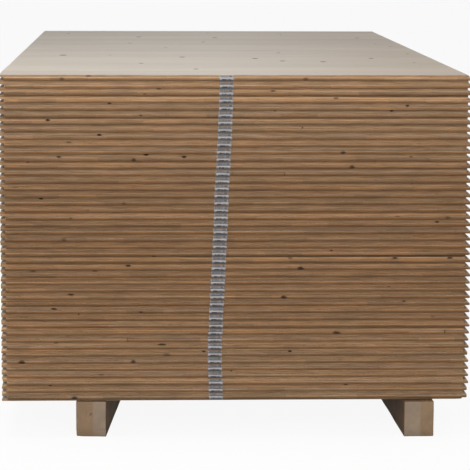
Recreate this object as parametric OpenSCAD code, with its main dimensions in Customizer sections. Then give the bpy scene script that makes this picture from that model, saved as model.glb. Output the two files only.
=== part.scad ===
// Stack of three-layer solid wood panels on two bearers. Each panel is tongued and grooved on four
// sides: the core layer stands out as a tongue at the front and right, and is set back as a groove
// at the left and back.
// Millimetres. +X runs right along the front edges, +Y from front to back, +Z up.
// The origin is on the ground, at the middle of the whole stack's footprint.

/* [Stack] */
// Number of panels lying on each other
panel_count = 45; // [2:1:60]
// Largest slip of a panel sideways or lengthways from the straight stack
panel_slip = 0.8; // [0:0.1:2]
// Seed that sets how each panel has slipped
slip_seed = 7; // [1:1:99]

/* [Panel] */
// Face width along the front edge, without the tongue
panel_w = 1220; // [900:10:2050]
// Face length from front to back, without the tongue
panel_l = 2440; // [1000:10:5000]
// Thickness of each outer layer
face_t = 5.6; // [4:0.1:12]
// Thickness of the core layer
core_t = 7.9; // [6:0.1:20]
// Bevel along the outer edges of the outer layers
arris = 0.5; // [0.2:0.1:1.5]

/* [Tongue and groove] */
// How far the tongue stands out of the front and right edges
tongue_l = 12; // [6:0.5:20]
// How much thinner the tongue is than the core, on each face
tongue_play = 0.2; // [0.1:0.1:0.8]
// Radius of the rounding along both edges of the tongue's tip
tip_round = 3.2; // [0.5:0.1:3.5]
// How much deeper the groove is than the tongue is long
groove_play = 1; // [0.2:0.1:3]
// Bevel along the mouth of the groove, which leads the tongue in
mouth_bevel = 0.6; // [0.2:0.1:1.5]

/* [Labels] */
// Length of a paper label along the edge
label_w = 37; // [15:1:80]
// Bare edge between a label and the panel's upper and lower faces
label_margin = 0.7; // [0.6:0.1:3]
// Thickness of the paper, which is folded over the shoulders and the tongue
label_t = 0.15; // [0.1:0.05:0.3]
// Mean distance of the row of labels from the panels' left edge
label_in = 575; // [100:1:800]
// How far the row of labels swings to each side of its mean line
label_swing = 13; // [0:1:30]
// How far the row also sways to each side of that swing, twice as often
label_sway = 2.9; // [0:0.1:10]
// Number of panels in one full swing of the row
label_period = 62; // [10:1:120]
// Panel, counted up from the bottom one, at which the row swings furthest right
label_peak = 40; // [0:1:60]

/* [Bearers] */
// Width of a bearer
bearer_w = 80; // [60:1:120]
// Height of a bearer
bearer_h = 96; // [60:1:140]
// Bevel along the long edges of a bearer
bearer_arris = 2; // [0.5:0.5:6]
// How far the bearers stop short of the panels' back edges
bearer_back_gap = 40; // [0:1:200]
// Distance of the left bearer's front end, at its middle, from the panels' left edge
left_in = 234; // [120:1:350]
// Distance of the right bearer's front end, at its middle, from the panels' right edge
right_in = 119; // [80:1:350]
// Angle by which the left bearer's back end is turned in
left_skew = 4.2; // [0:0.1:5]
// Angle by which the right bearer's back end is turned in
right_skew = 1.5; // [0:0.1:5]
// How far the left bearer stops short of the tongue tips at the front
left_setback = 4; // [0:1:100]
// How far the right bearer stands out past the tongue tips at the front
right_reach = 14; // [0:1:100]

/* [Hidden] */

panel_t = 2 * face_t + core_t;
groove_d = tongue_l + groove_play;
core_w = panel_w - groove_d + tongue_l;
core_l = panel_l - groove_d + tongue_l;
nose_r = min(tip_round, core_t / 2 - tongue_play - 0.2);

// The outermost front corner is on the right bearer
corner_reach = right_reach + bearer_w / 2 * sin(right_skew);
left_x = -(panel_w + tongue_l) / 2;
right_x = left_x + panel_w;
tip_y = corner_reach - (corner_reach + tongue_l + panel_l + panel_slip) / 2;
front_y = tip_y + tongue_l;
back_y = front_y + panel_l;
bearer_back_y = back_y - bearer_back_gap;

slips_x = rands(-panel_slip, panel_slip, panel_count, slip_seed);
slips_y = rands(-panel_slip, panel_slip, panel_count, slip_seed + 1);

function panel_z(i) = bearer_h + i * panel_t;
function label_shift(turn) = label_swing * cos(turn) + label_sway * sin(2 * turn);
function label_x(i) = left_x + label_in + label_shift(360 * (i - label_peak) / label_period);

// Moves a piece to where panel i lies, with that panel's slip
module at_panel(i, z) {
    translate([slips_x[i], slips_y[i], panel_z(i) + z]) children();
}

// Extrudes a section whose width lies along X, from front to back
module along_y(length) {
    rotate([90, 0, 0]) translate([0, 0, -length]) linear_extrude(length) children();
}

// Extrudes a section whose width lies along Y, from left to right
module along_x(length) {
    rotate([90, 0, 90]) linear_extrude(length) children();
}

// Section of an outer layer, with the core below it: a lip of the groove at its near end, a square
// shoulder over the tongue at its far end, and both upper corners bevelled
module face_section(width) {
    polygon([
        [mouth_bevel, 0], [width, 0], [width, face_t - arris], [width - arris, face_t],
        [arris, face_t], [0, face_t - arris], [0, mouth_bevel]
    ]);
}

// Section of the tongue, from its root at x = 0, or of paper laid over it when grown by its thickness
module tongue_section(grow) {
    low = tongue_play - grow;
    high = core_t - tongue_play + grow;
    r = nose_r + grow;
    reach = tongue_l - nose_r;
    translate([0, low]) square([reach, high - low]);
    translate([0, low + r]) square([tongue_l + grow, high - low - 2 * r]);
    for (v = [low + r, high - r]) translate([reach, v]) circle(r);
}

// Section of the core layer: the groove's flat bottom at its near end, the tongue at its far end
module core_section(width) {
    root = width - tongue_l;
    square([root, core_t]);
    translate([root, 0]) tongue_section(0);
}

// Section of a label, standing on the panel's lower face: paper on both shoulders and over the tongue
module label_section() {
    difference() {
        union() {
            translate([0, label_margin]) square([label_t, panel_t - 2 * label_margin]);
            translate([0, face_t]) tongue_section(label_t);
        }
        translate([0, face_t]) tongue_section(0);
    }
}

// Section of a bearer, standing on the ground and centred across
module bearer_section() {
    half = bearer_w / 2;
    polygon([
        [-half, bearer_arris], [bearer_arris - half, 0],
        [half - bearer_arris, 0], [half, bearer_arris],
        [half, bearer_h - bearer_arris], [half - bearer_arris, bearer_h],
        [bearer_arris - half, bearer_h], [-half, bearer_h - bearer_arris]
    ]);
}

// One bearer from its front end at (x, y) to the bearers' common back line, turned by the angle
module bearer(x, y, turn) {
    translate([x, y, 0]) rotate([0, 0, turn]) along_y((bearer_back_y - y) / cos(turn)) bearer_section();
}

// A layer whose section has its groove end at the left and at the back
module layer(width, length) {
    intersection() {
        along_y(length) children(0);
        translate([0, length, 0]) mirror([0, 1, 0]) along_x(width) children(1);
    }
}

// One outer layer, its face up, with its front left corner at the origin
module face_layer() {
    layer(panel_w, panel_l) {
        face_section(panel_w);
        face_section(panel_l);
    }
}

// One core layer, with the corner of its front tongue and left groove at the origin
module core_layer() {
    layer(core_w, core_l) {
        core_section(core_w);
        core_section(core_l);
    }
}

module top_layers() {
    color("tan") for (i = [0:panel_count - 1])
        at_panel(i, face_t + core_t) translate([left_x, front_y, 0]) face_layer();
}

module core_layers() {
    color("burlywood") for (i = [0:panel_count - 1])
        at_panel(i, face_t) translate([left_x + groove_d, tip_y, 0]) core_layer();
}

module bottom_layers() {
    color("tan") for (i = [0:panel_count - 1])
        at_panel(i, face_t) translate([left_x, front_y, 0]) mirror([0, 0, 1]) face_layer();
}

module edge_labels() {
    color("whitesmoke") for (i = [0:panel_count - 1])
        at_panel(i, 0) translate([label_x(i) - label_w / 2, front_y, 0])
            mirror([0, 1, 0]) along_x(label_w) label_section();
}

module bearer_left() {
    color("rosybrown") bearer(left_x + left_in, tip_y + left_setback, -left_skew);
}

module bearer_right() {
    color("rosybrown") bearer(right_x - right_in, tip_y - right_reach, right_skew);
}

top_layers();
core_layers();
bottom_layers();
edge_labels();
bearer_left();
bearer_right();
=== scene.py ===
import math
import bpy
import numpy as np
from mathutils import Matrix, Vector
from mathutils import noise as fieldNoise


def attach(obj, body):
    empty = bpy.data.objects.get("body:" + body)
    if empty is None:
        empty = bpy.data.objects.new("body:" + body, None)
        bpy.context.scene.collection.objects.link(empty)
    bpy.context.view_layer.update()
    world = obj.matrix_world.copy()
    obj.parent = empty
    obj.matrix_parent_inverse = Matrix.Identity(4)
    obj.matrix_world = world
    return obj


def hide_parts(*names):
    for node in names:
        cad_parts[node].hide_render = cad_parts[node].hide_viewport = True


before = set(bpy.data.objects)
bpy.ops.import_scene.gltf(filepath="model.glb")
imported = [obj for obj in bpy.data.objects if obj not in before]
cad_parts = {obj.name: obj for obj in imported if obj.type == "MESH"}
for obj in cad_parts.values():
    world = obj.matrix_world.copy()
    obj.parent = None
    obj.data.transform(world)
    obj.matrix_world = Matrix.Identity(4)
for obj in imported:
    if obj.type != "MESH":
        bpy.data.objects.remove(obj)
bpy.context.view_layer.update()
scene = bpy.context.scene
scene.view_settings.view_transform = "Standard"
print("frame loaded:", ", ".join(sorted(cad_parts)))


# node helpers

def addNode(tree, kind, inputs=None, **settings):
    made = tree.nodes.new(kind)
    for name, value in settings.items():
        setattr(made, name, value)
    for name, value in (inputs or {}).items():
        if isinstance(value, bpy.types.NodeSocket):
            tree.links.new(value, made.inputs[name])
        else:
            made.inputs[name].default_value = value
    return made


def calc(tree, operation, first, second=0.0, third=0.0):
    return addNode(tree, "ShaderNodeMath", {0: first, 1: second, 2: third}, operation=operation).outputs[0]


def times(tree, first, *others):
    for other in others:
        first = calc(tree, "MULTIPLY", first, other)
    return first


def reachOf(tree, first, second):
    squares = calc(tree, "ADD", times(tree, first, first), times(tree, second, second))
    return calc(tree, "SQRT", squares)


def vectorOf(tree, x, y, z):
    return addNode(tree, "ShaderNodeCombineXYZ", {"X": x, "Y": y, "Z": z}).outputs[0]


def partsOf(tree, vector):
    return addNode(tree, "ShaderNodeSeparateXYZ", {0: vector}).outputs


def factOf(tree, name):
    return addNode(tree, "ShaderNodeAttribute", attribute_name=name).outputs


def facing(tree, axis):
    normal = addNode(tree, "ShaderNodeNewGeometry").outputs["True Normal"]
    return calc(tree, "ABSOLUTE", partsOf(tree, normal)[axis])


def grey(tree, value):
    return addNode(tree, "ShaderNodeCombineColor", {0: value, 1: value, 2: value}).outputs[0]


def fade(tree, value, start, end, low=0.0, high=1.0):
    made = addNode(tree, "ShaderNodeMapRange", {
        "Value": value, "From Min": start, "From Max": end, "To Min": low, "To Max": high,
    }, interpolation_type="SMOOTHSTEP")
    return made.outputs["Result"]


def vary(tree, value, low, high, margin=0.25):
    return fade(tree, value, margin, 1 - margin, low, high)


def solid(colour):
    return colour if isinstance(colour, bpy.types.NodeSocket) else (*colour, 1.0)


def blend(tree, factor, first, second, mode="MIX"):
    made = addNode(tree, "ShaderNodeMix", {
        0: factor, 6: solid(first), 7: solid(second)}, data_type="RGBA", blend_type=mode)
    return made.outputs[2]


def tinted(tree, colour, tint):
    return blend(tree, 1.0, colour, tint, "MULTIPLY")


def ramp(tree, value, stops):
    made = addNode(tree, "ShaderNodeValToRGB", {"Fac": value})
    band = made.color_ramp
    while len(band.elements) < len(stops):
        band.elements.new(0.5)
    for element, (place, colour) in zip(band.elements, stops):
        element.position = place
        element.color = (*colour, 1.0)
    return made.outputs["Color"]


def noise(tree, vector, scale, detail=3.0, roughness=0.5):
    made = addNode(tree, "ShaderNodeTexNoise", {
        "Vector": vector, "Scale": scale, "Detail": detail, "Roughness": roughness})
    return made.outputs["Fac"]


def grainNoise(tree, places, scales, detail, roughness=0.5, shift=0.0):
    first, second, third = places
    vector = vectorOf(
        tree, calc(tree, "MULTIPLY_ADD", first, scales[0], shift),
        times(tree, second, scales[1]), times(tree, third, scales[2]))
    return noise(tree, vector, 1.0, detail, roughness)


def newMaterial(name):
    made = bpy.data.materials.new(name)
    made.use_nodes = True
    made.node_tree.nodes.clear()
    return made, made.node_tree


def finishMaterial(tree, colour, roughness, height, bumpDepth, gloss):
    bump = addNode(tree, "ShaderNodeBump", {"Strength": 0.6, "Distance": bumpDepth, "Height": height})
    skin = addNode(tree, "ShaderNodeBsdfPrincipled", {
        "Base Color": colour, "Roughness": roughness, "Specular IOR Level": gloss, "Normal": bump.outputs[0],
    })
    addNode(tree, "ShaderNodeOutputMaterial", {"Surface": skin.outputs[0]})


# wood of the layers: boards side by side, rings round a pith of their own, knots

faceWood = {
    "grain": "X",  # the face boards lie along the front edge
    "boardWidth": 0.102,
    "ringWidth": 0.0031,
    "early": (0.6, 0.545, 0.475),
    "late": (0.45, 0.385, 0.31),
    "edge": (0.74, 0.53, 0.355),  # browner and darker than the face: partly the milled wood's own tone, partly painted shade on the upright edges
    "endGrain": (0.58, 0.4, 0.26),
    "boardTone": 0.34,  # how far boards differ
    "warmth": 0.07,
    "streaks": 0.46,  # along the edges
    "layerTone": 0.3,  # how far the edges of layers differ
    "paintedLightByHeight": ((1.06, 1.07, 1.07), (0.95, 0.9, 0.82), (1.14, 1.165, 1.18)),  # painted light: tints for the edges of low, middle and high sheets, standing in for how the light falls on them
    "paintedLightHeights": (0.14, 0.34, 0.62, 0.9),  # where the three blend
    "paintedShadeRight": (1.0, 1.0, 1.0),  # painted shade: tint towards the right end
}
coreWood = {
    **faceWood,
    "grain": "Y",  # the core boards lie crosswise, so the front tongue is their end grain
    "boardWidth": 0.096,
    "ringWidth": 0.0034,
    "early": (0.56, 0.43, 0.3),
    "late": (0.4, 0.28, 0.18),
    # browner edges than the face: partly the core's own tone, partly painted shade on the upright edges
    "edge": (1.02, 0.82, 0.66),
    "endGrain": (0.54, 0.405, 0.283),
    "boardTone": 0.3,
    "warmth": 0.06,
    "streaks": 0.4,
    "layerTone": 0.24,
    # painted light: the core edges likewise lighter or darker by the sheet's height
    "paintedLightByHeight": ((1.08, 1.085, 1.07), (0.96, 0.9, 0.82), (1.14, 1.16, 1.18)),
}
bottomWood = {
    **faceWood,
    # painted light: the bottom layers of the lower sheets made much lighter, lifting the shade under the
    # tongues
    "paintedLightByHeight": ((1.78, 1.78, 1.74), (1.13, 1.07, 0.99), (1.06, 1.05, 1.02)),
    "paintedLightHeights": (0.22, 0.5, 0.62, 0.9),
}
topWood = {
    **faceWood,
    "boardTone": 0.1,
    "warmth": 0.02,
    "late": (0.5, 0.435, 0.365),
    # painted shade: the uppermost sheet darker towards its right end
    "paintedShadeRight": (0.91, 0.86, 0.81),
}
topKnots = [  # middle and radius of the knots on the uppermost face
    (-0.485, -0.326, 0.011), (-0.344, -0.326, 0.0042), (-0.25, -0.719, 0.0064), (-0.101, -0.967, 0.0072),
    (-0.13, -0.414, 0.0092), (0.082, -0.481, 0.0095), (0.156, -0.599, 0.0086), (0.27, -0.634, 0.0088),
    (0.425, -0.466, 0.008), (0.528, -0.668, 0.0045), (0.56, -0.24, 0.006), (0.169, -0.185, 0.0064),
    (-0.175, 0.104, 0.0048), (0.555, 0.187, 0.0045), (0.522, 0.36, 0.0046), (-0.293, 0.364, 0.006),
    (-0.046, 0.454, 0.0068), (0.499, 0.737, 0.008), (0.001, 0.747, 0.0092), (-0.265, 0.787, 0.0098),
    (0.245, 0.97, 0.005), (-0.017, 1.079, 0.005), (-0.52, 1.02, 0.006), (-0.395, 1.19, 0.005),
]
woodGrain = {  # what all layers share
    "wanderScale": (1.6, 13.0, 13.0),  # noise along the grain, across it and up
    "fibreScale": (14.0, 900.0, 900.0),
    "cloudScale": (1.1, 5.0, 1.0),
    "streakScale": (15.0, 15.0, 230.0),
    "pithSpread": 0.13,  # how far the pith lies to either side, in all
    "pithDepth": (0.055, 0.006),  # range and least depth of the pith under the board
    "ringWander": 0.016,
    "lateness": [(0.0, 0.0), (0.45, 0.18), (0.8, 0.85), (0.94, 1.0), (1.0, 0.0)],  # of the wood in one ring
    "fibreTone": (0.93, 1.06),
    "cloudTone": (0.94, 1.05),
    # where the painted shade towards the right end starts and ends
    "paintedShadeSpan": (-0.1, 0.6),
    "seamPlace": (0.4925, 0.4985),  # of a board's width from its middle
    "seamDepth": 0.45,
    "seamColour": (0.2, 0.14, 0.09),
    "knotsPerMetre": 3.1,
    "knotSize": (0.004, 0.01),
    "knotShift": (7.31, 3.77),  # gives each layer knots of its own
    "knotLength": 0.78,
    "knotFree": 0.3,  # share of the places for knots that stay bare
    "topKnotShape": (0.98, 0.6, 0.0),
    "knotRim": (1.1, 0.84),
    "swirlReach": (4.0, 0.6),  # rings bend round a knot
    "swirl": 0.012,
    "knotColours": [
        (0.0, (0.045, 0.021, 0.014)), (0.55, (0.082, 0.038, 0.023)),
        (0.9, (0.038, 0.018, 0.012)), (1.0, (0.105, 0.056, 0.038))],
    "edgeKnotRim": (1.25, 0.65),
    "edgeKnotDepth": 1.3,
    "edgeKnotFray": 0.28,
    "edgeKnotColour": (0.04, 0.02, 0.011),
    "roughness": (0.55, 0.78),
    "bump": 0.0003,
    "gloss": 0.2,
}


def scatteredKnots(tree, along, across, seed):
    alongShift, acrossShift = woodGrain["knotShift"]
    small, large = woodGrain["knotSize"]
    rate = woodGrain["knotsPerMetre"]
    shifted = times(tree, seed, alongShift)
    place = vectorOf(
        tree, calc(tree, "MULTIPLY_ADD", along, woodGrain["knotLength"], shifted),
        calc(tree, "MULTIPLY_ADD", seed, acrossShift, across), 0.0)
    cells = addNode(tree, "ShaderNodeTexVoronoi", {"Vector": place, "Scale": rate}, voronoi_dimensions="2D")
    luckSize, luckBare, _ = addNode(tree, "ShaderNodeSeparateColor", {0: cells.outputs["Color"]}).outputs
    size = calc(tree, "MULTIPLY_ADD", luckSize, large - small, small)
    reach = calc(tree, "DIVIDE", cells.outputs["Distance"], rate)
    bare = calc(tree, "LESS_THAN", luckBare, woodGrain["knotFree"])
    farAway = 50.0  # knot radii
    return calc(tree, "MULTIPLY_ADD", bare, farAway, calc(tree, "DIVIDE", reach, size))


def placedKnots(tree, place, knots):
    nearest = None
    for x, y, radius in knots:
        scale = [part / radius for part in woodGrain["topKnotShape"]]
        near = addNode(tree, "ShaderNodeVectorMath", {
            0: place, 1: scale, 2: (-x * scale[0], -y * scale[1], 0.0),
        }, operation="MULTIPLY_ADD").outputs[0]
        away = addNode(tree, "ShaderNodeVectorMath", {0: near}, operation="LENGTH").outputs["Value"]
        nearest = away if nearest is None else calc(tree, "MINIMUM", nearest, away)
    return nearest


def layerWood(name, look, knots=None):
    grain = woodGrain
    material, tree = newMaterial(name)
    place = addNode(tree, "ShaderNodeTexCoord").outputs["Object"]
    x, y, z = partsOf(tree, place)
    board = factOf(tree, "board")["Vector"]
    seed, shift, middle = partsOf(tree, board)  # a number of its own, start of its boards, mid height
    alongX = look["grain"] == "X"
    along = x if alongX else y
    across = calc(tree, "SUBTRACT", y if alongX else x, shift)
    up = calc(tree, "SUBTRACT", z, middle)

    # each board has its own luck: place of the pith, tone, warmth
    counted = calc(tree, "DIVIDE", across, look["boardWidth"])
    inBoard = calc(tree, "SUBTRACT", calc(tree, "FRACT", counted), 0.5)
    sideways = times(tree, inBoard, look["boardWidth"])
    own = addNode(tree, "ShaderNodeTexWhiteNoise", {
        "Vector": vectorOf(tree, calc(tree, "FLOOR", counted), seed, 0.0)}, noise_dimensions="2D")
    luck = addNode(tree, "ShaderNodeSeparateColor", {0: own.outputs["Color"]})
    luckSide, luckDepth, luckTone = luck.outputs

    fromKnot = placedKnots(tree, place, knots) if knots else scatteredKnots(tree, along, across, seed)
    knot = fade(tree, fromKnot, *grain["knotRim"])
    swirl = fade(tree, fromKnot, *grain["swirlReach"], 0.0, grain["swirl"])

    # rings
    wander = grainNoise(tree, (along, across, z), grain["wanderScale"], 2.0, shift=seed)
    spread = grain["pithSpread"]
    offPith = calc(tree, "SUBTRACT", sideways, calc(tree, "MULTIPLY_ADD", luckSide, spread, -spread / 2))
    below = calc(tree, "ADD", up, calc(tree, "MULTIPLY_ADD", luckDepth, *grain["pithDepth"]))
    radius = calc(tree, "MULTIPLY_ADD", wander, grain["ringWander"], reachOf(tree, offPith, below))
    radius = calc(tree, "ADD", radius, swirl)
    ring = calc(tree, "FRACT", calc(tree, "DIVIDE", radius, look["ringWidth"]))
    lateness = ramp(tree, ring, [(stop, (level,) * 3) for stop, level in grain["lateness"]])

    # fibres and slow tone changes
    fibre = grainNoise(tree, (along, across, z), grain["fibreScale"], 2.0)
    cloud = grainNoise(tree, (along, across, seed), grain["cloudScale"], 3.0, shift=seed)
    colour = blend(tree, lateness, look["early"], look["late"])
    tone = calc(tree, "MULTIPLY_ADD", luckTone, look["boardTone"], 1 - look["boardTone"] / 2)
    tone = times(
        tree, tone, vary(tree, fibre, *grain["fibreTone"], 0.2), vary(tree, cloud, *grain["cloudTone"]))
    warm = look["warmth"]
    colour = tinted(tree, colour, blend(
        tree, luckSide, (1 + warm, 1.0, 1 - warm), (1 - warm / 2, 1.0, 1 + warm)))
    colour = tinted(tree, colour, grey(tree, tone))
    # painted shade, growing towards the right end
    colour = tinted(tree, colour, blend(
        tree, fade(tree, x, *grain["paintedShadeSpan"]), (1.0, 1.0, 1.0), look["paintedShadeRight"]))

    # edges: browner along the grain, partly as painted shade, darker across it, with a tone of their own
    upright = fade(tree, facing(tree, "Z"), 0.97, 0.8)
    cut = fade(tree, facing(tree, look["grain"]), 0.45, 0.95)
    edge = blend(tree, cut, look["edge"], look["endGrain"])
    streak = grainNoise(tree, (x, y, z), grain["streakScale"], 3.0, 0.6, shift=seed)
    streaky = vary(tree, streak, 1 - look["streaks"] / 2, 1 + look["streaks"] / 2)
    ownTone = addNode(tree, "ShaderNodeTexWhiteNoise", {"W": seed}, noise_dimensions="1D").outputs["Value"]
    ownTone = calc(tree, "MULTIPLY_ADD", ownTone, look["layerTone"], 1 - look["layerTone"] / 2)
    ownTone = times(tree, ownTone, factOf(tree, "sheetTone")["Fac"], streaky)
    edge = tinted(tree, edge, grey(tree, ownTone))
    # painted light: the edges tinted lighter or darker by the sheet's height
    lower, mid, upper = look["paintedLightByHeight"]
    lowFrom, lowTo, highFrom, highTo = look["paintedLightHeights"]
    tint = blend(tree, fade(tree, middle, lowFrom, lowTo), lower, mid)
    tint = blend(tree, fade(tree, middle, highFrom, highTo), tint, upper)
    edge = tinted(tree, edge, tint)
    colour = blend(tree, upright, colour, tinted(tree, colour, edge))

    # glue lines between the boards, and the knots on top
    seam = fade(tree, calc(tree, "ABSOLUTE", inBoard), *grain["seamPlace"])
    colour = blend(tree, times(tree, seam, grain["seamDepth"]), colour, grain["seamColour"])
    knot = times(tree, knot, fade(tree, upright, 0.0, 1.0, 0.95, 0.0))
    colour = blend(tree, knot, colour, ramp(tree, fromKnot, grain["knotColours"]))

    # knots at the edges, in radii from their middle
    aside, above, deep = partsOf(tree, factOf(tree, "mark")["Vector"])
    fray = vary(tree, noise(tree, place, 420.0, 2.0), -grain["edgeKnotFray"], grain["edgeKnotFray"])
    apart = calc(tree, "ADD", reachOf(tree, aside, above), fray)
    dark = times(tree, fade(tree, apart, *grain["edgeKnotRim"], 0.0, grain["edgeKnotDepth"]), deep)
    colour = blend(tree, dark, colour, grain["edgeKnotColour"])

    height = calc(tree, "MULTIPLY_ADD", lateness, 0.4, times(tree, fibre, 0.6))
    roughness = vary(tree, fibre, *grain["roughness"], 0.1)
    finishMaterial(tree, colour, roughness, height, grain["bump"], grain["gloss"])
    return material


# the layers, with the small knocks that a stack gets at its edges

layerShape = {
    "bundle": {"top_layers": 15, "core_layers": 23, "bottom_layers": 15},  # panels in one piece
    "split": 0.009,  # layers of a node lie further apart than this
    "step": 0.03,  # between points along an edge
    "cornerKeep": 0.017,  # points stay this far from the corners
    "flawKeep": 0.03,  # and knots and gaps this far, also from each other
    "wander": 0.00014,
    "waves": (9.1, 0.7, 6.3),  # of the wander: turn per metre, lag per level, range of starts
    "arris": 0.0005,
    "mouth": 0.0006,  # bevel inside the groove
    "play": 0.0002,  # the tongue is this much thinner than the core, on each face
    "tipRound": 0.0032,
    "chipsPerMetre": 0.9,
    "chip": (0.0006, 0.0024),
    "chipWidth": (0.006, 0.03),
    "cornerKnock": 0.0035,
    "knockShare": 0.4,  # of the corners
    "knotsPerMetre": 0.55,
    "frontShare": 0.1,  # of that rate, at the front, beside the placed ones
    "knotWidth": (0.004, 0.01),
    "knotHeight": (0.003, 0.0055),
    "knotDent": (0.0002, 0.0008),
    "gapShare": 0.015,  # of the core board joints stand open
    "gapJoints": 12,  # joints looked at along an edge
    "gapWidth": (0.0006, 0.0022),
    "gapDepth": (0.002, 0.006),
    "far": 9.0,  # mark of a face with no knot or gap
    "toneEnds": (-0.6, 0.6),
}
frontKnots = {  # panel counted from the top, place along the front edge, width and depth of colour
    "top_layers": [
        (0, -0.384, 0.011, 0.45), (2, 0.094, 0.011, 0.45), (3, 0.258, 0.011, 0.45),
        (4, 0.445, 0.008, 0.7), (6, -0.49, 0.009, 1.0), (8, -0.357, 0.009, 1.0),
        (9, -0.436, 0.011, 0.45), (11, -0.462, 0.01, 0.7), (11, -0.137, 0.01, 1.0),
        (11, 0.457, 0.009, 0.45), (20, 0.527, 0.009, 0.7), (25, 0.142, 0.01, 0.45),
        (25, 0.418, 0.011, 0.7), (25, 0.563, 0.013, 0.7), (26, -0.283, 0.01, 1.0),
        (30, -0.433, 0.012, 0.7), (32, -0.478, 0.012, 1.0), (37, -0.194, 0.017, 0.7),
        (38, -0.085, 0.007, 1.0), (38, 0.143, 0.008, 1.0),
    ],
    "core_layers": [
        (0, -0.452, 0.01, 0.45), (0, 0.178, 0.011, 0.45), (10, 0.277, 0.011, 0.7),
        (11, -0.268, 0.01, 0.7), (12, 0.301, 0.011, 0.7), (17, -0.294, 0.009, 0.45),
        (19, 0.554, 0.012, 0.45), (22, -0.45, 0.01, 0.45), (26, 0.169, 0.013, 1.0),
        (30, 0.125, 0.012, 1.0), (32, -0.25, 0.008, 0.7), (35, 0.265, 0.016, 0.7),
        (38, -0.182, 0.017, 0.45), (39, -0.563, 0.013, 1.0), (39, -0.27, 0.011, 0.7),
        (44, -0.425, 0.013, 0.7),
    ],
    "bottom_layers": [
        (1, -0.203, 0.01, 0.45), (3, -0.33, 0.008, 0.7), (4, 0.404, 0.008, 0.7),
        (10, -0.235, 0.01, 1.0), (11, -0.542, 0.009, 0.45), (16, -0.509, 0.01, 1.0),
        (24, -0.215, 0.01, 0.45), (26, -0.531, 0.012, 0.45), (26, -0.37, 0.011, 0.45),
        (36, -0.472, 0.01, 0.45), (42, 0.292, 0.008, 0.7),
    ],
}
sheetTones = {  # edges that stand out: panel counted from the top, tone at the left and right end
    "top_layers": {1: (1.6, 1.4), 3: (1.25, 1.6), 25: (1.0, 1.35), 35: (0.97, 1.3)},
    "core_layers": {0: (1.22, 1.26), 1: (1.25, 1.15), 3: (1.2, 1.3), 25: (0.9, 1.1), 35: (0.95, 1.1)},
    "bottom_layers": {2: (0.95, 0.6), 24: (0.66, 0.3), 34: (1.2, 0.42), 44: (0.76, 0.62)},
}
towards = np.array([(1, 0), (0, 1), (-1, 0), (0, -1)], float)  # along the front, right, back and left
inwards = np.array([(0, 1), (-1, 0), (0, -1), (1, 0)], float)


def pointsOf(node):
    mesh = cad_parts[node].data
    places = np.empty(len(mesh.vertices) * 3)
    mesh.vertices.foreach_get("co", places)
    return places.reshape(-1, 3)


def layerBoxes(node):
    places = pointsOf(node)
    places = places[np.argsort(places[:, 2], kind="stable")]
    starts = np.flatnonzero(np.diff(places[:, 2]) > layerShape["split"]) + 1
    return [(part.min(0), part.max(0)) for part in np.split(places, starts)]


topBoxes = layerBoxes("top_layers")
coreBoxes = layerBoxes("core_layers")
bottomBoxes = layerBoxes("bottom_layers")
panelCount = len(topBoxes)
stackFoot = bottomBoxes[0][0][2]
panelT = topBoxes[0][1][2] - stackFoot
faceT = bottomBoxes[0][1][2] - stackFoot
tongue = topBoxes[0][0][1] - coreBoxes[0][0][1]  # how far the core stands out at the front
print("panels found:", panelCount, "thickness", round(panelT, 4), "tongue", round(tongue, 4))


def edgeFlaws(node, side, span, number, low, thick, shift, boardWidth, rng):
    shape = layerShape
    keep = shape["flawKeep"]
    gaps = []  # place, width, depth
    knots = []  # place, width, dent, mid height, height, depth of colour
    if side == 0:
        for panel, x, width, deep in frontKnots[node]:
            if panel == panelCount - 1 - number:
                dent = rng.uniform(*shape["knotDent"])
                rise = thick * rng.uniform(0.45, 0.55)
                knots.append((x - low[0], width * 1.25, dent, rise, min(width * 0.75, thick), deep))
    if node == "core_layers" and side in (0, 2):  # board ends show at the front and back
        start = math.ceil((low[0] + keep - shift) / boardWidth)
        for step in range(start, start + shape["gapJoints"]):
            place = shift + step * boardWidth - low[0]
            if place < span - keep and rng.random() < shape["gapShare"]:
                place = place if side == 0 else span - place
                if all(abs(place - mark[0]) > keep for mark in knots):
                    gaps.append((place, rng.uniform(*shape["gapWidth"]), rng.uniform(*shape["gapDepth"])))
    rate = shape["knotsPerMetre"] * (shape["frontShare"] if side == 0 else 1)
    for place in rng.uniform(keep, span - keep, rng.poisson(rate * span)):
        if all(abs(place - mark[0]) > keep for mark in gaps + knots):
            width, dent = rng.uniform(*shape["knotWidth"]), rng.uniform(*shape["knotDent"])
            rise, high = thick * rng.uniform(0.3, 0.7), rng.uniform(*shape["knotHeight"])
            knots.append((place, width, dent, rise, high, rng.uniform(0.3, 1.0)))
    return gaps, knots


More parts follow.
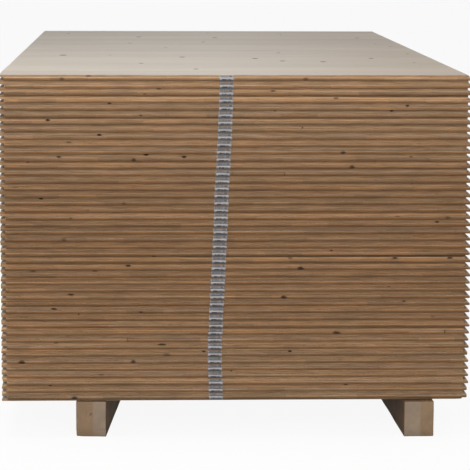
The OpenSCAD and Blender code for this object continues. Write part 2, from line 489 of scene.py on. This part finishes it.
def sideStops(span, rng, gaps, knots):
    keep = layerShape["cornerKeep"]
    marks = []  # place, depth all through, chip at the arris
    taken = []
    for place, width, depth in gaps:
        marks += [(place - width / 2, 0, 0), (place - width / 2, depth, 0),
                  (place + width / 2, depth, 0), (place + width / 2, 0, 0)]
        taken.append((place, width))
    for place, width, depth, *_ in knots:
        marks += [(place - width, 0, 0), (place - width / 3, depth, 0),
                  (place + width / 4, depth, 0), (place + width, 0, 0)]
        taken.append((place, width * 2))
    for place in rng.uniform(keep, span - keep, rng.poisson(layerShape["chipsPerMetre"] * span)):
        width = rng.uniform(*layerShape["chipWidth"])
        depth = rng.uniform(*layerShape["chip"]) * rng.uniform(0.3, 1.0)
        if all(abs(place - at) > (width + wide) / 2 for at, wide in taken):
            deepest = place - width * rng.uniform(0, 0.3)
            marks += [(place - width / 2, 0, 0), (deepest, 0, depth), (place + width / 2, 0, 0)]
            taken.append((place, width))
    for place in np.linspace(keep, span - keep, round(span / layerShape["step"])):
        if all(abs(place - at) > wide / 2 + 0.002 for at, wide in taken):
            marks.append((place, 0, 0))
    marks = [mark for mark in marks if keep <= mark[0] <= span - keep]
    marks.sort(key=lambda mark: mark[0])
    stops = np.array([(0, 0, 0)] + marks, float)

    # for each stretch from a stop to the next: its two ends in radii of its knot,
    # and the knot's mid height, half height and depth of colour
    ends = np.append(stops[1:, 0], span)
    middles = (stops[:, 0] + ends) / 2
    zones = np.tile([layerShape["far"], layerShape["far"], 0, np.inf, 0], (len(stops), 1))
    for place, width, _ in gaps:
        zones[abs(middles - place) <= width / 2] = (0, 0, 0, np.inf, 1)
    for place, width, _, rise, high, deep in knots:
        inside = abs(middles - place) < width
        zones[inside, 0] = (stops[inside, 0] - place) / width * 2
        zones[inside, 1] = (ends[inside] - place) / width * 2
        zones[inside, 2:] = (rise, high / 2, deep)
    return stops, zones


def sectionOf(node, low, high):
    shape = layerShape
    thick = high[2] - low[2]
    if node == "core_layers":  # a rounded tongue at the front and right, flat at the back and left
        play, r = shape["play"], shape["tipRound"]
        half = [(0, tongue), (play, tongue), (play, r)]
        for turn in (math.pi / 6, math.pi / 3, math.pi / 2):
            half.append((play + r * (1 - math.cos(turn)), r * (1 - math.sin(turn))))
        path = half + [(thick - rise, inset) for rise, inset in reversed(half)]
        flat = np.linspace(0, thick, len(path))
        levels = [((rise, rise, even, even), (inset, inset, 0, 0)) for (rise, inset), even in zip(path, flat)]
        weights = (0, 0, 0.1, 0.4, 0.7, 1, 1, 0.7, 0.4, 0.1, 0, 0)
    else:
        groove = (0, 0, shape["mouth"], shape["mouth"])
        steps = [(0, groove), (shape["mouth"], (0,) * 4), (thick * 0.55, (0,) * 4),
                 (thick - shape["arris"], (0,) * 4), (thick, (shape["arris"],) * 4)]
        levels = [((rise,) * 4, insets) for rise, insets in steps]
        weights = (0, 0, 0.25, 0.8, 1)
        if node == "bottom_layers":
            levels = [((thick - rises[0],) * 4, insets) for rises, insets in reversed(levels)]
            weights = weights[::-1]
    return levels, weights  # heights and insets for the four sides, and how deep a chip goes there


def layerMesh(low, high, levels, weights, sides, rng):
    corners = np.array([(low[0], low[1]), (high[0], low[1]), (high[0], high[1]), (low[0], high[1])])
    knock = rng.uniform(0, layerShape["cornerKnock"], 4) * (rng.random(4) < layerShape["knockShare"])
    turn, lag, starts = layerShape["waves"]
    phase = rng.uniform(0, starts, 4)
    rings = []
    for level, ((rises, insets), weight) in enumerate(zip(levels, weights)):
        ring = []
        for side, (stops, _) in enumerate(sides):
            before = (side - 1) % 4
            wave = layerShape["wander"] * (1 + np.sin(stops[:, 0] * turn + phase[side] + level * lag))
            depth = insets[side] + stops[:, 1] + stops[:, 2] * weight + wave
            plan = corners[side] + stops[:, :1] * towards[side] + depth[:, None] * inwards[side]
            blunt = knock[side] * (0.5 + weight / 2)
            plan[0] = (corners[side] + inwards[side] * (insets[side] + blunt)
                       + inwards[before] * (insets[before] + blunt))
            ring.append(np.column_stack([plan, np.full(len(plan), low[2] + rises[side])]))
        rings.append(np.vstack(ring))
    return np.stack(rings), np.concatenate([zones for _, zones in sides])


mapPlan = {
    "rows": {  # of the map, for the front, right, back and left of a layer
        "top_layers": (1, 2, 1, 2), "core_layers": (1, 2, 1, 1), "bottom_layers": (1, 2, 1, 2)},
    "edgeShare": 0.8,  # of the map's height, for the edges of a bundle
    "sheetEdgeShare": 0.06,  # the same for the uppermost sheet, whose face is seen
    "rowMargin": 0.15,  # of a row's height
    "endMargin": 0.002,
    "half": 0.25,  # width of half a face
    "hiddenHalf": 0.04,  # the same for the uppermost sheet's hidden face
    "faceMargin": 0.004,
}


def edgeMap(rings, levels, counts, rowCounts, foot, rowHigh):
    middle = rings[len(rings) // 2]
    steps = np.linalg.norm(np.roll(middle, -1, 0) - middle, axis=1) + 1e-5  # never nothing
    spots = np.empty((len(rings) - 1, len(steps), 4, 2))
    rowMargin, endMargin = mapPlan["rowMargin"], mapPlan["endMargin"]
    start, row = 0, 0
    for side, (count, parts) in enumerate(zip(counts, rowCounts)):
        path = np.array([(rises[side], insets[side]) for rises, insets in levels])
        heights = np.append(0, np.cumsum(np.linalg.norm(np.diff(path, axis=0), axis=1)))
        heights = heights / heights[-1] * (1 - 2 * rowMargin) + rowMargin
        ends = np.append(0, np.cumsum(steps[start:start + count]))
        which = np.minimum((ends[:-1] / ends[-1] * parts).astype(int), parts - 1)
        for part in range(parts):
            here = np.flatnonzero(which == part)
            left, right = ends[here[0]], ends[here[-1] + 1]
            near, far = (
                (ends[here + k] - left) / (right - left) * (1 - 2 * endMargin) + endMargin for k in (0, 1))
            for level in range(len(rings) - 1):
                low, high = (foot + (row + heights[level + k]) * rowHigh for k in (0, 1))
                spots[level, start + here, :, 0] = np.column_stack([near, far, far, near])
                spots[level, start + here, :, 1] = (low, low, high, high)
            row += 1
        start += count
    return spots.reshape(-1, 2)


def faceMap(points, box, alongX):
    left, foot, right, top = box
    low, high = points[:, :2].min(0), points[:, :2].max(0)
    share = (points[:, :2] - low) / (high - low)
    grain, across = (share[:, 0], share[:, 1]) if alongX else (share[:, 1], share[:, 0])
    wide = right - left > top - foot
    u, v = (across, grain) if wide else (grain, across)  # the rings get the more pixels
    inset = mapPlan["faceMargin"]
    return np.column_stack([
        left + inset + u * (right - left - 2 * inset), foot + inset / 2 + v * (top - foot - inset)])


def bundleMesh(layers, node):
    verts, faces, boards, tones, marks, spots, first = [], [], [], [], [], [], 0
    rowCounts = mapPlan["rows"][node]
    alone = len(layers) == 1
    edgeShare = mapPlan["sheetEdgeShare" if alone else "edgeShare"]
    rowHigh = edgeShare / sum(rowCounts) / len(layers)
    hidden = mapPlan["hiddenHalf" if alone else "half"]
    cuts = np.cumsum([0, hidden, hidden, 0.5 - hidden, 0.5 - hidden])
    faceHigh = (1 - edgeShare) / len(layers)
    for number, (rings, zones, board, tone, section, counts) in enumerate(layers):
        levels, count = rings.shape[:2]
        points = rings.reshape(-1, 3)
        verts.append(points)
        here = np.arange(count)
        there = (here + 1) % count
        aside = zones[:, [0, 1, 1, 0]]
        for level in range(levels - 1):
            corners = np.column_stack([here, there, there + count, here + count]) + level * count
            faces += (first + corners).tolist()
            above = (points[corners, 2] - points[0, 2] - zones[:, 2:3]) / zones[:, 3:4]
            marks.append(np.stack([aside, above, np.tile(zones[:, 4:], 4)], -1).reshape(-1, 3))
        spots.append(edgeMap(rings, section, counts, rowCounts, number * sum(rowCounts) * rowHigh, rowHigh))

        # the lower and upper faces, each in a front and a back half
        turnRight, turnLeft = counts[0] + counts[1] // 2, count - counts[3] // 2
        halves = [np.append(here[:turnRight + 1], here[turnLeft:]), here[turnRight:turnLeft + 1]]
        rise = edgeShare + number * faceHigh
        for place in range(4):
            half = halves[place % 2] if place > 1 else halves[place % 2][::-1]
            level = levels - 1 if place > 1 else 0
            faces.append((first + level * count + half).tolist())
            marks.append(np.tile([layerShape["far"]] * 2 + [0], (len(half), 1)))
            box = (cuts[place], rise, cuts[place + 1], rise + faceHigh)
            spots.append(faceMap(rings[level, half], box, node != "core_layers"))
        boards.append(np.tile(board, (levels * count, 1)))
        tones.append(np.interp(rings[:, :, 0].ravel(), layerShape["toneEnds"], tone))
        first += levels * count
    return faces, *(np.concatenate(parts) for parts in (verts, boards, tones, marks, spots))


def newPiece(name, verts, faces, material, replaced):
    mesh = bpy.data.meshes.new(name)
    mesh.from_pydata(np.asarray(verts).tolist(), [], faces)
    mesh.update()
    mesh.materials.append(material)
    piece = bpy.data.objects.new(name, mesh)
    scene.collection.objects.link(piece)
    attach(piece, "root")
    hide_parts(replaced)
    return piece


def addFact(piece, name, values, domain="POINT"):
    kind, field = ("FLOAT_VECTOR", "vector") if values.ndim == 2 else ("FLOAT", "value")
    fact = piece.data.attributes.new(name, kind, domain)
    fact.data.foreach_set(field, values.astype(np.float32).ravel())


def layerBundles(node, boxes, look, woodName, seed):
    material = layerWood(woodName, look)
    rng = np.random.default_rng(seed)
    made = []
    for number, (low, high) in enumerate(boxes):
        thick = high[2] - low[2]
        shift = rng.uniform(0, look["boardWidth"])
        board = (rng.integers(1, 900), shift, (low[2] + high[2]) / 2)
        levels, weights = sectionOf(node, low, high)
        sides = []
        for side, span in enumerate((high[0] - low[0], high[1] - low[1]) * 2):
            gaps, knots = edgeFlaws(node, side, span, number, low, thick, shift, look["boardWidth"], rng)
            sides.append(sideStops(span, rng, gaps, knots))
        tone = sheetTones[node].get(panelCount - 1 - number, (1.0, 1.0))
        counts = [len(stops) for stops, _ in sides]
        made.append((*layerMesh(low, high, levels, weights, sides, rng), board, tone, levels, counts))
    starts = list(range(0, panelCount, layerShape["bundle"][node])) + [panelCount]
    bundles = [(material, made[a:b]) for a, b in zip(starts, starts[1:])]
    if node == "top_layers":  # the uppermost sheet is a piece of its own
        last = bundles[-1][1].pop()
        bundles.append((topMaterial, [last]))
    for number, (wood, layers) in enumerate(bundles):
        faces, verts, boards, tones, marks, spots = bundleMesh(layers, node)
        piece = newPiece("%s_%d" % (node.replace("_l", "L"), number + 1), verts, faces, wood, node)
        addFact(piece, "board", boards)
        addFact(piece, "sheetTone", tones)
        addFact(piece, "mark", marks, "CORNER")
        piece.data.uv_layers.new(name="OFBake").data.foreach_set("uv", spots.astype(np.float32).ravel())
    print(node, "built:", len(bundles), "bundles")


topMaterial = layerWood("topFaceWood", topWood, topKnots)
layerBundles("top_layers", topBoxes, faceWood, "faceWood", 21)
layerBundles("core_layers", coreBoxes, coreWood, "coreWood", 22)
layerBundles("bottom_layers", bottomBoxes, bottomWood, "bottomFaceWood", 23)


# paper labels, pressed over the shoulders and the tongue of each panel

labelLook = {
    "paper": (0.54, 0.515, 0.52),
    "ink": (0.072, 0.072, 0.086),
    "columns": 12,
    "thick": 0.00012,
    "crease": 0.00022,
    "bridge": 0.0028,  # the paper spans the inner corners
    "margin": 0.0008,  # bare wood above and below
    "flap": 0.0018,
    "lift": 0.0012,  # of corners that have come loose
    "liftShare": 0.35,
    "lean": 0.0006,
    "bars": [  # generic print: lowest and highest line, left and right end, strength, breaks per label
        (0.014, 0.0178, 0.07, 0.64, 0.66, 31.0),
        (0.014, 0.0178, 0.68, 0.92, 0.76, 9.0),
        (0.0058, 0.0098, 0.17, 0.56, 0.95, 13.0),
        (0.0058, 0.0098, 0.6, 0.82, 0.75, 17.0),
        (0.0014, 0.005, 0.06, 0.94, 0.5, 29.0),
    ],
    "soft": (0.0002, 0.01),  # how far a bar's edges fade, upwards and sideways
    "breaks": (0.12, 0.3, 0.35, 1.0),
    "dirtTone": (0.3, 0.75, 0.78, 1.05),
    "paperTone": (0.96, 1.03),
    "roughness": (0.45, 0.65),
    "bump": 0.0001,
    "gloss": 0.4,
}


def between(tree, value, low, high, soft):
    rising = fade(tree, value, low - soft, low + soft)
    return times(tree, rising, fade(tree, value, high + soft, high - soft))


def labelPaper():
    look = labelLook
    material, tree = newMaterial("labelPaper")
    wide, rise, seed = partsOf(tree, factOf(tree, "paper")["Vector"])
    softUp, softAside = look["soft"]
    ink = None
    for low, high, left, right, strength, breaks in look["bars"]:
        cell = calc(tree, "FLOOR", times(tree, wide, breaks))
        broken = addNode(tree, "ShaderNodeTexWhiteNoise", {
            "Vector": vectorOf(tree, cell, seed, low * 1000)}, noise_dimensions="3D").outputs["Value"]
        bar = times(
            tree, between(tree, rise, low, high, softUp), between(tree, wide, left, right, softAside),
            fade(tree, broken, *look["breaks"]), strength)
        ink = bar if ink is None else calc(tree, "MAXIMUM", ink, bar)
    place = addNode(tree, "ShaderNodeTexCoord").outputs["Object"]
    grainy = noise(tree, place, 900.0, 2.0)
    dirt = noise(tree, place, 45.0, 4.0, 0.6)
    colour = blend(tree, ink, look["paper"], look["ink"])
    tone = times(tree, fade(tree, dirt, *look["dirtTone"]), vary(tree, grainy, *look["paperTone"], 0.2))
    colour = tinted(tree, colour, grey(tree, tone))
    roughness = vary(tree, dirt, *look["roughness"], 0.2)
    finishMaterial(tree, colour, roughness, grainy, look["bump"], look["gloss"])
    return material


def labelPath():
    play, r, span, grow = layerShape["play"], layerShape["tipRound"], labelLook["bridge"], labelLook["thick"]
    low, high = faceT + play - grow, panelT - faceT - play + grow
    margin = labelLook["margin"]
    neck = tongue - r
    lower = [  # how far out, how high
        (grow, margin), (grow, margin + labelLook["flap"]), (grow, low - span),
        (grow + span * 0.3, low - span * 0.3), (grow + span, low), ((neck + span) / 2, low), (neck, low)]
    for turn in (0.5, 1.05, math.pi / 2):
        lower.append((neck + (r + grow) * math.sin(turn), low + (r + grow) * (1 - math.cos(turn))))
    upper = [(out, low + high - rise) for out, rise in reversed(lower)]
    return lower + [(tongue + grow, (low + high) / 2)] + upper


def labelFaces(first, rows, columns):
    width = columns + 1
    inner = first + rows * width
    faces = []
    for row in range(rows - 1):
        for step in range(columns):
            a = row * width + step
            b = a + width
            faces.append((first + a, first + a + 1, first + b + 1, first + b))
            faces.append((inner + a, inner + b, inner + b + 1, inner + a + 1))
    rim = list(range(columns)) + [row * width + columns for row in range(rows - 1)]
    rim += [(rows - 1) * width + step for step in range(columns, 0, -1)]
    rim += [row * width for row in range(rows - 1, 0, -1)]
    for here, there in zip(rim, rim[1:] + rim[:1]):
        faces.append((first + there, first + here, inner + here, inner + there))
    return faces


def makeLabels():
    look = labelLook
    rng = np.random.default_rng(41)
    places = pointsOf("edge_labels")
    numbers = np.floor((places[:, 2] - stackFoot) / panelT).astype(int)
    path = labelPath()
    columns, rows = look["columns"], len(path)
    verts, faces, papers = [], [], []
    for panel in range(panelCount):
        part = places[numbers == panel]
        low, high = part.min(0), part.max(0)
        foot = stackFoot + panel * panelT
        lift = rng.uniform(0, look["lift"], 4) * (rng.random(4) < look["liftShare"])
        lean = rng.normal(0, look["lean"])
        skew = np.linspace(-lean, lean, rows)
        faces += labelFaces(len(verts), rows, columns)
        for side in (0, 1):  # outer face, then inner face
            for row, (out, rise) in enumerate(path):
                fromTop = rows - 1 - row
                for u in np.linspace(0, 1, columns + 1):
                    crease = look["crease"] * fieldNoise.noise(Vector((u * 5, row * 0.6, panel * 3.7)))
                    corner = (lift[0] * (1 - u) ** 6 + lift[1] * u ** 6) * max(0, 1 - row / 3)
                    corner += (lift[2] * (1 - u) ** 6 + lift[3] * u ** 6) * max(0, 1 - fromTop / 3)
                    reach = out + abs(crease) + corner - side * look["thick"] * 0.8
                    x = low[0] + u * (high[0] - low[0]) + skew[row]
                    verts.append((x, high[1] - reach, foot + rise))
                    papers.append((u, rise, panel * 1.37))
    piece = newPiece("edgeLabels", verts, faces, labelPaper(), "edge_labels")
    addFact(piece, "paper", np.array(papers))
    piece.data.shade_smooth()
    print("labels made:", panelCount)


makeLabels()


# bearers: sawn timbers with worn arrises and two tones on their cut ends

bearerLook = {
    "early": (0.37, 0.27, 0.19),
    "late": (0.265, 0.175, 0.115),
    "endInner": (1.4, 1.46, 1.54),  # tint of the half of a cut end towards the middle of the stack
    "endOuter": (1.31, 1.22, 1.09),
    "halves": {"bearer_left": 0.005, "bearer_right": 0.004},  # where the two meet
    "halfFade": 0.003,
    # painted shade: the sides darker than the cut ends, as in the shade under the stack
    "sides": (0.58, 0.48, 0.38),
    "ringWidth": 0.0042,
    "ringWander": 0.012,
    "lateness": [(0.0, 0.0), (0.5, 0.2), (0.85, 1.0), (1.0, 0.0)],
    "wanderScale": (16.0, 1.7, 16.0),  # noise across the timber, along it and up
    "fibreScale": (700.0, 18.0, 700.0),
    "pith": {"bearer_left": (-0.012, 0.02), "bearer_right": (0.055, -0.015)},
    "crackReach": (0.075, 0.05),  # from the pith
    "crackColour": (0.06, 0.04, 0.03),
    "knots": {"bearer_left": [(0.0, 0.061)], "bearer_right": []},
    "knotTurn": 0.7,
    "knotShape": (0.55, 0.0, 1.0),
    "knotRim": (0.0042, 0.0012),
    "knotColour": (0.13, 0.08, 0.045),
    "groundDirt": (0.0, 0.03, 0.8, 1.0),  # from and to this height, tones
    "roughness": (0.62, 0.85),
    "bump": 0.0006,
    "gloss": 0.08,
    "arris": 0.0026,
    "wear": 0.0015,
    "sawn": 0.0004,  # unevenness all over
    "endSteps": [0.0, 0.0012, 0.003, 0.008, 0.02, 0.04],  # points near an end
    "endZone": 0.08,
    "endBevel": 0.0016,
    "rings": 64,  # of points between the end zones
}


def bearerWood(node):
    look = bearerLook
    material, tree = newMaterial("bearerWood_" + node.split("_")[1])
    fact = factOf(tree, "timber")["Vector"]
    aside, along, up = partsOf(tree, fact)
    wander = grainNoise(tree, (aside, along, up), look["wanderScale"], 3.0)
    fibre = grainNoise(tree, (aside, along, up), look["fibreScale"], 2.0)
    dirt = noise(tree, fact, 14.0, 4.0, 0.6)

    # rings round the pith
    pithX, pithZ = look["pith"][node]
    dx = calc(tree, "SUBTRACT", aside, pithX)
    dz = calc(tree, "SUBTRACT", up, pithZ)
    radius = calc(tree, "MULTIPLY_ADD", wander, look["ringWander"], reachOf(tree, dx, dz))
    ring = calc(tree, "FRACT", calc(tree, "DIVIDE", radius, look["ringWidth"]))
    lateness = ramp(tree, ring, [(stop, (level,) * 3) for stop, level in look["lateness"]])
    colour = blend(tree, lateness, look["early"], look["late"])

    # paler cut ends in two halves, against sides darkened with painted shade
    end = fade(tree, facing(tree, "Y"), 0.6, 0.9)
    meet, soft = look["halves"][node], look["halfFade"]
    inner = fade(tree, aside, meet - soft, meet + soft)
    if node == "bearer_right":
        inner = calc(tree, "SUBTRACT", 1.0, inner)
    tint = blend(tree, inner, look["endOuter"], look["endInner"])
    colour = tinted(tree, colour, blend(tree, end, look["sides"], tint))

    # saw marks across the sides, drying cracks from the pith on the ends
    saw = addNode(tree, "ShaderNodeTexWave", {
        "Vector": fact, "Scale": 38.0, "Distortion": 2.5, "Detail Scale": 1.5,
    }, wave_type="BANDS", bands_direction="Y").outputs["Fac"]
    angle = calc(tree, "ARCTAN2", dz, dx)
    turned = calc(tree, "MULTIPLY_ADD", wander, 0.9, times(tree, angle, 1.9))
    fromCrack = calc(tree, "ABSOLUTE", calc(tree, "SUBTRACT", calc(tree, "FRACT", turned), 0.5))
    crack = times(
        tree, fade(tree, fromCrack, 0.016, 0.004), fade(tree, radius, *look["crackReach"]), end,
        fade(tree, dirt, 0.45, 0.55))
    colour = blend(tree, times(tree, crack, 0.75), colour, look["crackColour"])

    # dirt and fibres, and a knot where the photo shows one
    tone = times(
        tree, fade(tree, dirt, 0.25, 0.8, 0.82, 1.1), vary(tree, fibre, 0.92, 1.06, 0.2),
        fade(tree, saw, 0.0, 1.0, 0.96, 1.03), fade(tree, up, *look["groundDirt"]))
    colour = tinted(tree, colour, grey(tree, tone))
    for x, z in look["knots"][node]:
        away = addNode(tree, "ShaderNodeVectorMath", {
            0: fact, 1: (x, 0.0, z)}, operation="SUBTRACT").outputs[0]
        away = addNode(tree, "ShaderNodeVectorRotate", {
            "Vector": away, "Angle": look["knotTurn"]}, rotation_type="Y_AXIS").outputs[0]
        away = addNode(tree, "ShaderNodeVectorMath", {
            0: away, 1: look["knotShape"]}, operation="MULTIPLY").outputs[0]
        away = addNode(tree, "ShaderNodeVectorMath", {0: away}, operation="LENGTH").outputs["Value"]
        spotty = times(tree, fade(tree, away, *look["knotRim"]), end, 0.6)
        colour = blend(tree, spotty, colour, look["knotColour"])
    height = calc(tree, "MULTIPLY_ADD", fibre, 0.4, times(tree, crack, -1.5))
    height = calc(tree, "MULTIPLY_ADD", saw, 0.5, height)
    roughness = vary(tree, fibre, *look["roughness"], 0.1)
    finishMaterial(tree, colour, roughness, height, look["bump"], look["gloss"])
    return material


def bearerRing(half, low, high):
    arris = bearerLook["arris"]
    arcs = []
    corners = ((1, low + arris), (1, high - arris), (-1, high - arris), (-1, low + arris))
    for number, (hand, rise) in enumerate(corners):
        across = hand * (half - arris)
        turns = [math.radians(90 * (number - 1) + step) for step in range(0, 91, 18)]
        arcs.append([(across + arris * math.cos(turn), rise + arris * math.sin(turn)) for turn in turns])
    ring = []  # across, up and whether on an arris
    for arc, following in zip(arcs, arcs[1:] + arcs[:1]):
        ring += [(*point, 1) for point in arc]
        (u, w), (nextU, nextW) = arc[-1], following[0]
        ring += [(u + (nextU - u) * part, w + (nextW - w) * part, 0) for part in (0.2, 0.4, 0.6, 0.8)]
    return ring


def makeBearer(node, seed):
    look = bearerLook
    places = pointsOf(node)
    plan = places[:, :2]
    middle = (plan.min(0) + plan.max(0)) / 2
    axis = np.linalg.svd(plan - plan.mean(0), full_matrices=False)[2][0]
    axis = axis if axis[1] > 0 else -axis
    side = np.array([axis[1], -axis[0]])
    u, v = (plan - middle) @ side, (plan - middle) @ axis
    half, start, stop = (u.max() - u.min()) / 2, v.min(), v.max()
    centre = (u.max() + u.min()) / 2
    low, high = places[:, 2].min(), places[:, 2].max()
    centreW = (low + high) / 2
    ring = bearerRing(half, low, high)
    stations = [start + step for step in look["endSteps"]]
    stations += list(np.linspace(start + look["endZone"], stop - look["endZone"], look["rings"]))
    stations += [stop - step for step in reversed(look["endSteps"])]
    verts, timbers = [], []
    for place in stations:
        fromEnd = min(place - start, stop - place)
        shrink = max(0.0, look["endBevel"] - fromEnd) * 0.9
        for cu, cw, onArris in ring:
            rough = look["sawn"] * (1 + fieldNoise.noise(Vector((cu * 30 + seed, place * 9, cw * 30))))
            worn = max(0, fieldNoise.noise(Vector((cu * 9 + seed, place * 3.1, cw * 9))) - 0.05)
            inset = rough + worn * look["wear"] * 2 * onArris + shrink
            length = math.hypot(cu, cw - centreW)
            nu, nw = cu - cu / length * inset, cw - (cw - centreW) / length * inset
            xy = middle + side * (centre + nu) + axis * place
            verts.append((xy[0], xy[1], nw))
            timbers.append((nu, place, nw))
    count = len(ring)
    faces = []
    for row in range(len(stations) - 1):
        for k in range(count):
            a, b = row * count + k, row * count + (k + 1) % count
            faces.append((a, a + count, b + count, b))
    faces.append(list(range(count)))
    faces.append([(len(stations) - 1) * count + k for k in reversed(range(count))])
    name = "bearer" + node.split("_")[1].capitalize()
    piece = newPiece(name, verts, faces, bearerWood(node), node)
    addFact(piece, "timber", np.array(timbers))
    print(name, "made:", len(faces), "faces")


makeBearer("bearer_left", 3.0)
makeBearer("bearer_right", 8.0)


# the floor, light and camera

floorLook = {"reach": 90.0, "seen": 0.93, "bounce": 0.16, "glow": 0.92}


def makeFloor():
    reach = floorLook["reach"]
    corners = [(-reach, -reach, 0), (reach, -reach, 0), (reach, reach, 0), (-reach, reach, 0)]
    mesh = bpy.data.meshes.new("floor")
    mesh.from_pydata(corners, [], [(0, 1, 2, 3)])
    material, tree = newMaterial("paleFloor")
    path = addNode(tree, "ShaderNodeLightPath").outputs
    shown = calc(tree, "MAXIMUM", path["Is Glossy Ray"], path["Is Transmission Ray"])
    shown = calc(tree, "MAXIMUM", path["Is Camera Ray"], shown)
    dull = addNode(tree, "ShaderNodeBsdfDiffuse", {"Color": (*[floorLook["bounce"]] * 3, 1.0)})
    pale = addNode(tree, "ShaderNodeBsdfDiffuse", {"Color": (*[floorLook["seen"]] * 3, 1.0)})
    white = addNode(tree, "ShaderNodeEmission")
    backdrop = addNode(tree, "ShaderNodeMixShader", {
        0: floorLook["glow"], 1: pale.outputs[0], 2: white.outputs[0]})
    floor = addNode(tree, "ShaderNodeMixShader", {0: shown, 1: dull.outputs[0], 2: backdrop.outputs[0]})
    addNode(tree, "ShaderNodeOutputMaterial", {"Surface": floor.outputs[0]})
    mesh.materials.append(material)
    piece = bpy.data.objects.new("floor", mesh)
    scene.collection.objects.link(piece)


lightLook = {
    "sky": 0.36,
    "lamps": {  # place, place looked at, width, height, power in watts
        "frontLamp": ((-0.15, -4.4, 1.85), (-0.05, -1.2, 0.5), 2.2, 1.7, 61.0),
        "overheadLamp": ((-1.0, -1.2, 3.4), (-0.95, -1.1, 0.95), 1.2, 1.2, 38.0),
        "backLamp": ((0.8, 5.2, 3.0), (0.0, 1.2, 0.5), 2.6, 1.4, 37.0),
        "leftLamp": ((-4.4, 0.0, 0.75), (-0.6, 0.0, 0.55), 2.8, 1.1, 42.0),
        "rightLamp": ((4.4, 0.0, 0.75), (0.6, 0.0, 0.55), 2.8, 1.1, 42.0),
    },
}


def makeLight():
    world = bpy.data.worlds.new("sky")
    world.use_nodes = True
    tree = world.node_tree
    tree.nodes.clear()
    path = addNode(tree, "ShaderNodeLightPath").outputs
    shown = calc(tree, "MAXIMUM", path["Is Camera Ray"], path["Is Transmission Ray"])
    white = (1.0, 1.0, 1.0, 1.0)
    soft = addNode(tree, "ShaderNodeBackground", {"Color": white, "Strength": lightLook["sky"]})
    full = addNode(tree, "ShaderNodeBackground", {"Color": white})
    both = addNode(tree, "ShaderNodeMixShader", {0: shown, 1: soft.outputs[0], 2: full.outputs[0]})
    addNode(tree, "ShaderNodeOutputWorld", {"Surface": both.outputs[0]})
    scene.world = world
    for name, (place, target, wide, high, power) in lightLook["lamps"].items():
        lamp = bpy.data.lights.new(name, "AREA")
        lamp.shape = "RECTANGLE"
        lamp.size, lamp.size_y = wide, high
        lamp.energy = power
        held = bpy.data.objects.new(name, lamp)
        held.location = place
        held.rotation_euler = (Vector(target) - Vector(place)).to_track_quat("-Z", "Y").to_euler()
        held.visible_camera = False
        scene.collection.objects.link(held)


cameraLook = {
    "place": (-0.223, -6.726, 1.325),
    "turn": 2.28,  # degrees, like the dip and the roll
    "dip": 8.12,
    "roll": 0.22,
    "lens": 163.2,
}


def makeCamera():
    data = bpy.data.cameras.new("camera")
    data.lens = cameraLook["lens"]
    camera = bpy.data.objects.new("camera", data)
    turn = Matrix.Rotation(math.radians(-cameraLook["turn"]), 4, "Z")
    dip = Matrix.Rotation(math.radians(90.0 - cameraLook["dip"]), 4, "X")
    roll = Matrix.Rotation(math.radians(cameraLook["roll"]), 4, "Z")
    camera.matrix_world = Matrix.Translation(cameraLook["place"]) @ turn @ dip @ roll
    scene.collection.objects.link(camera)
    scene.camera = camera


makeCamera()
makeFloor()
makeLight()
print("camera, floor and light set")
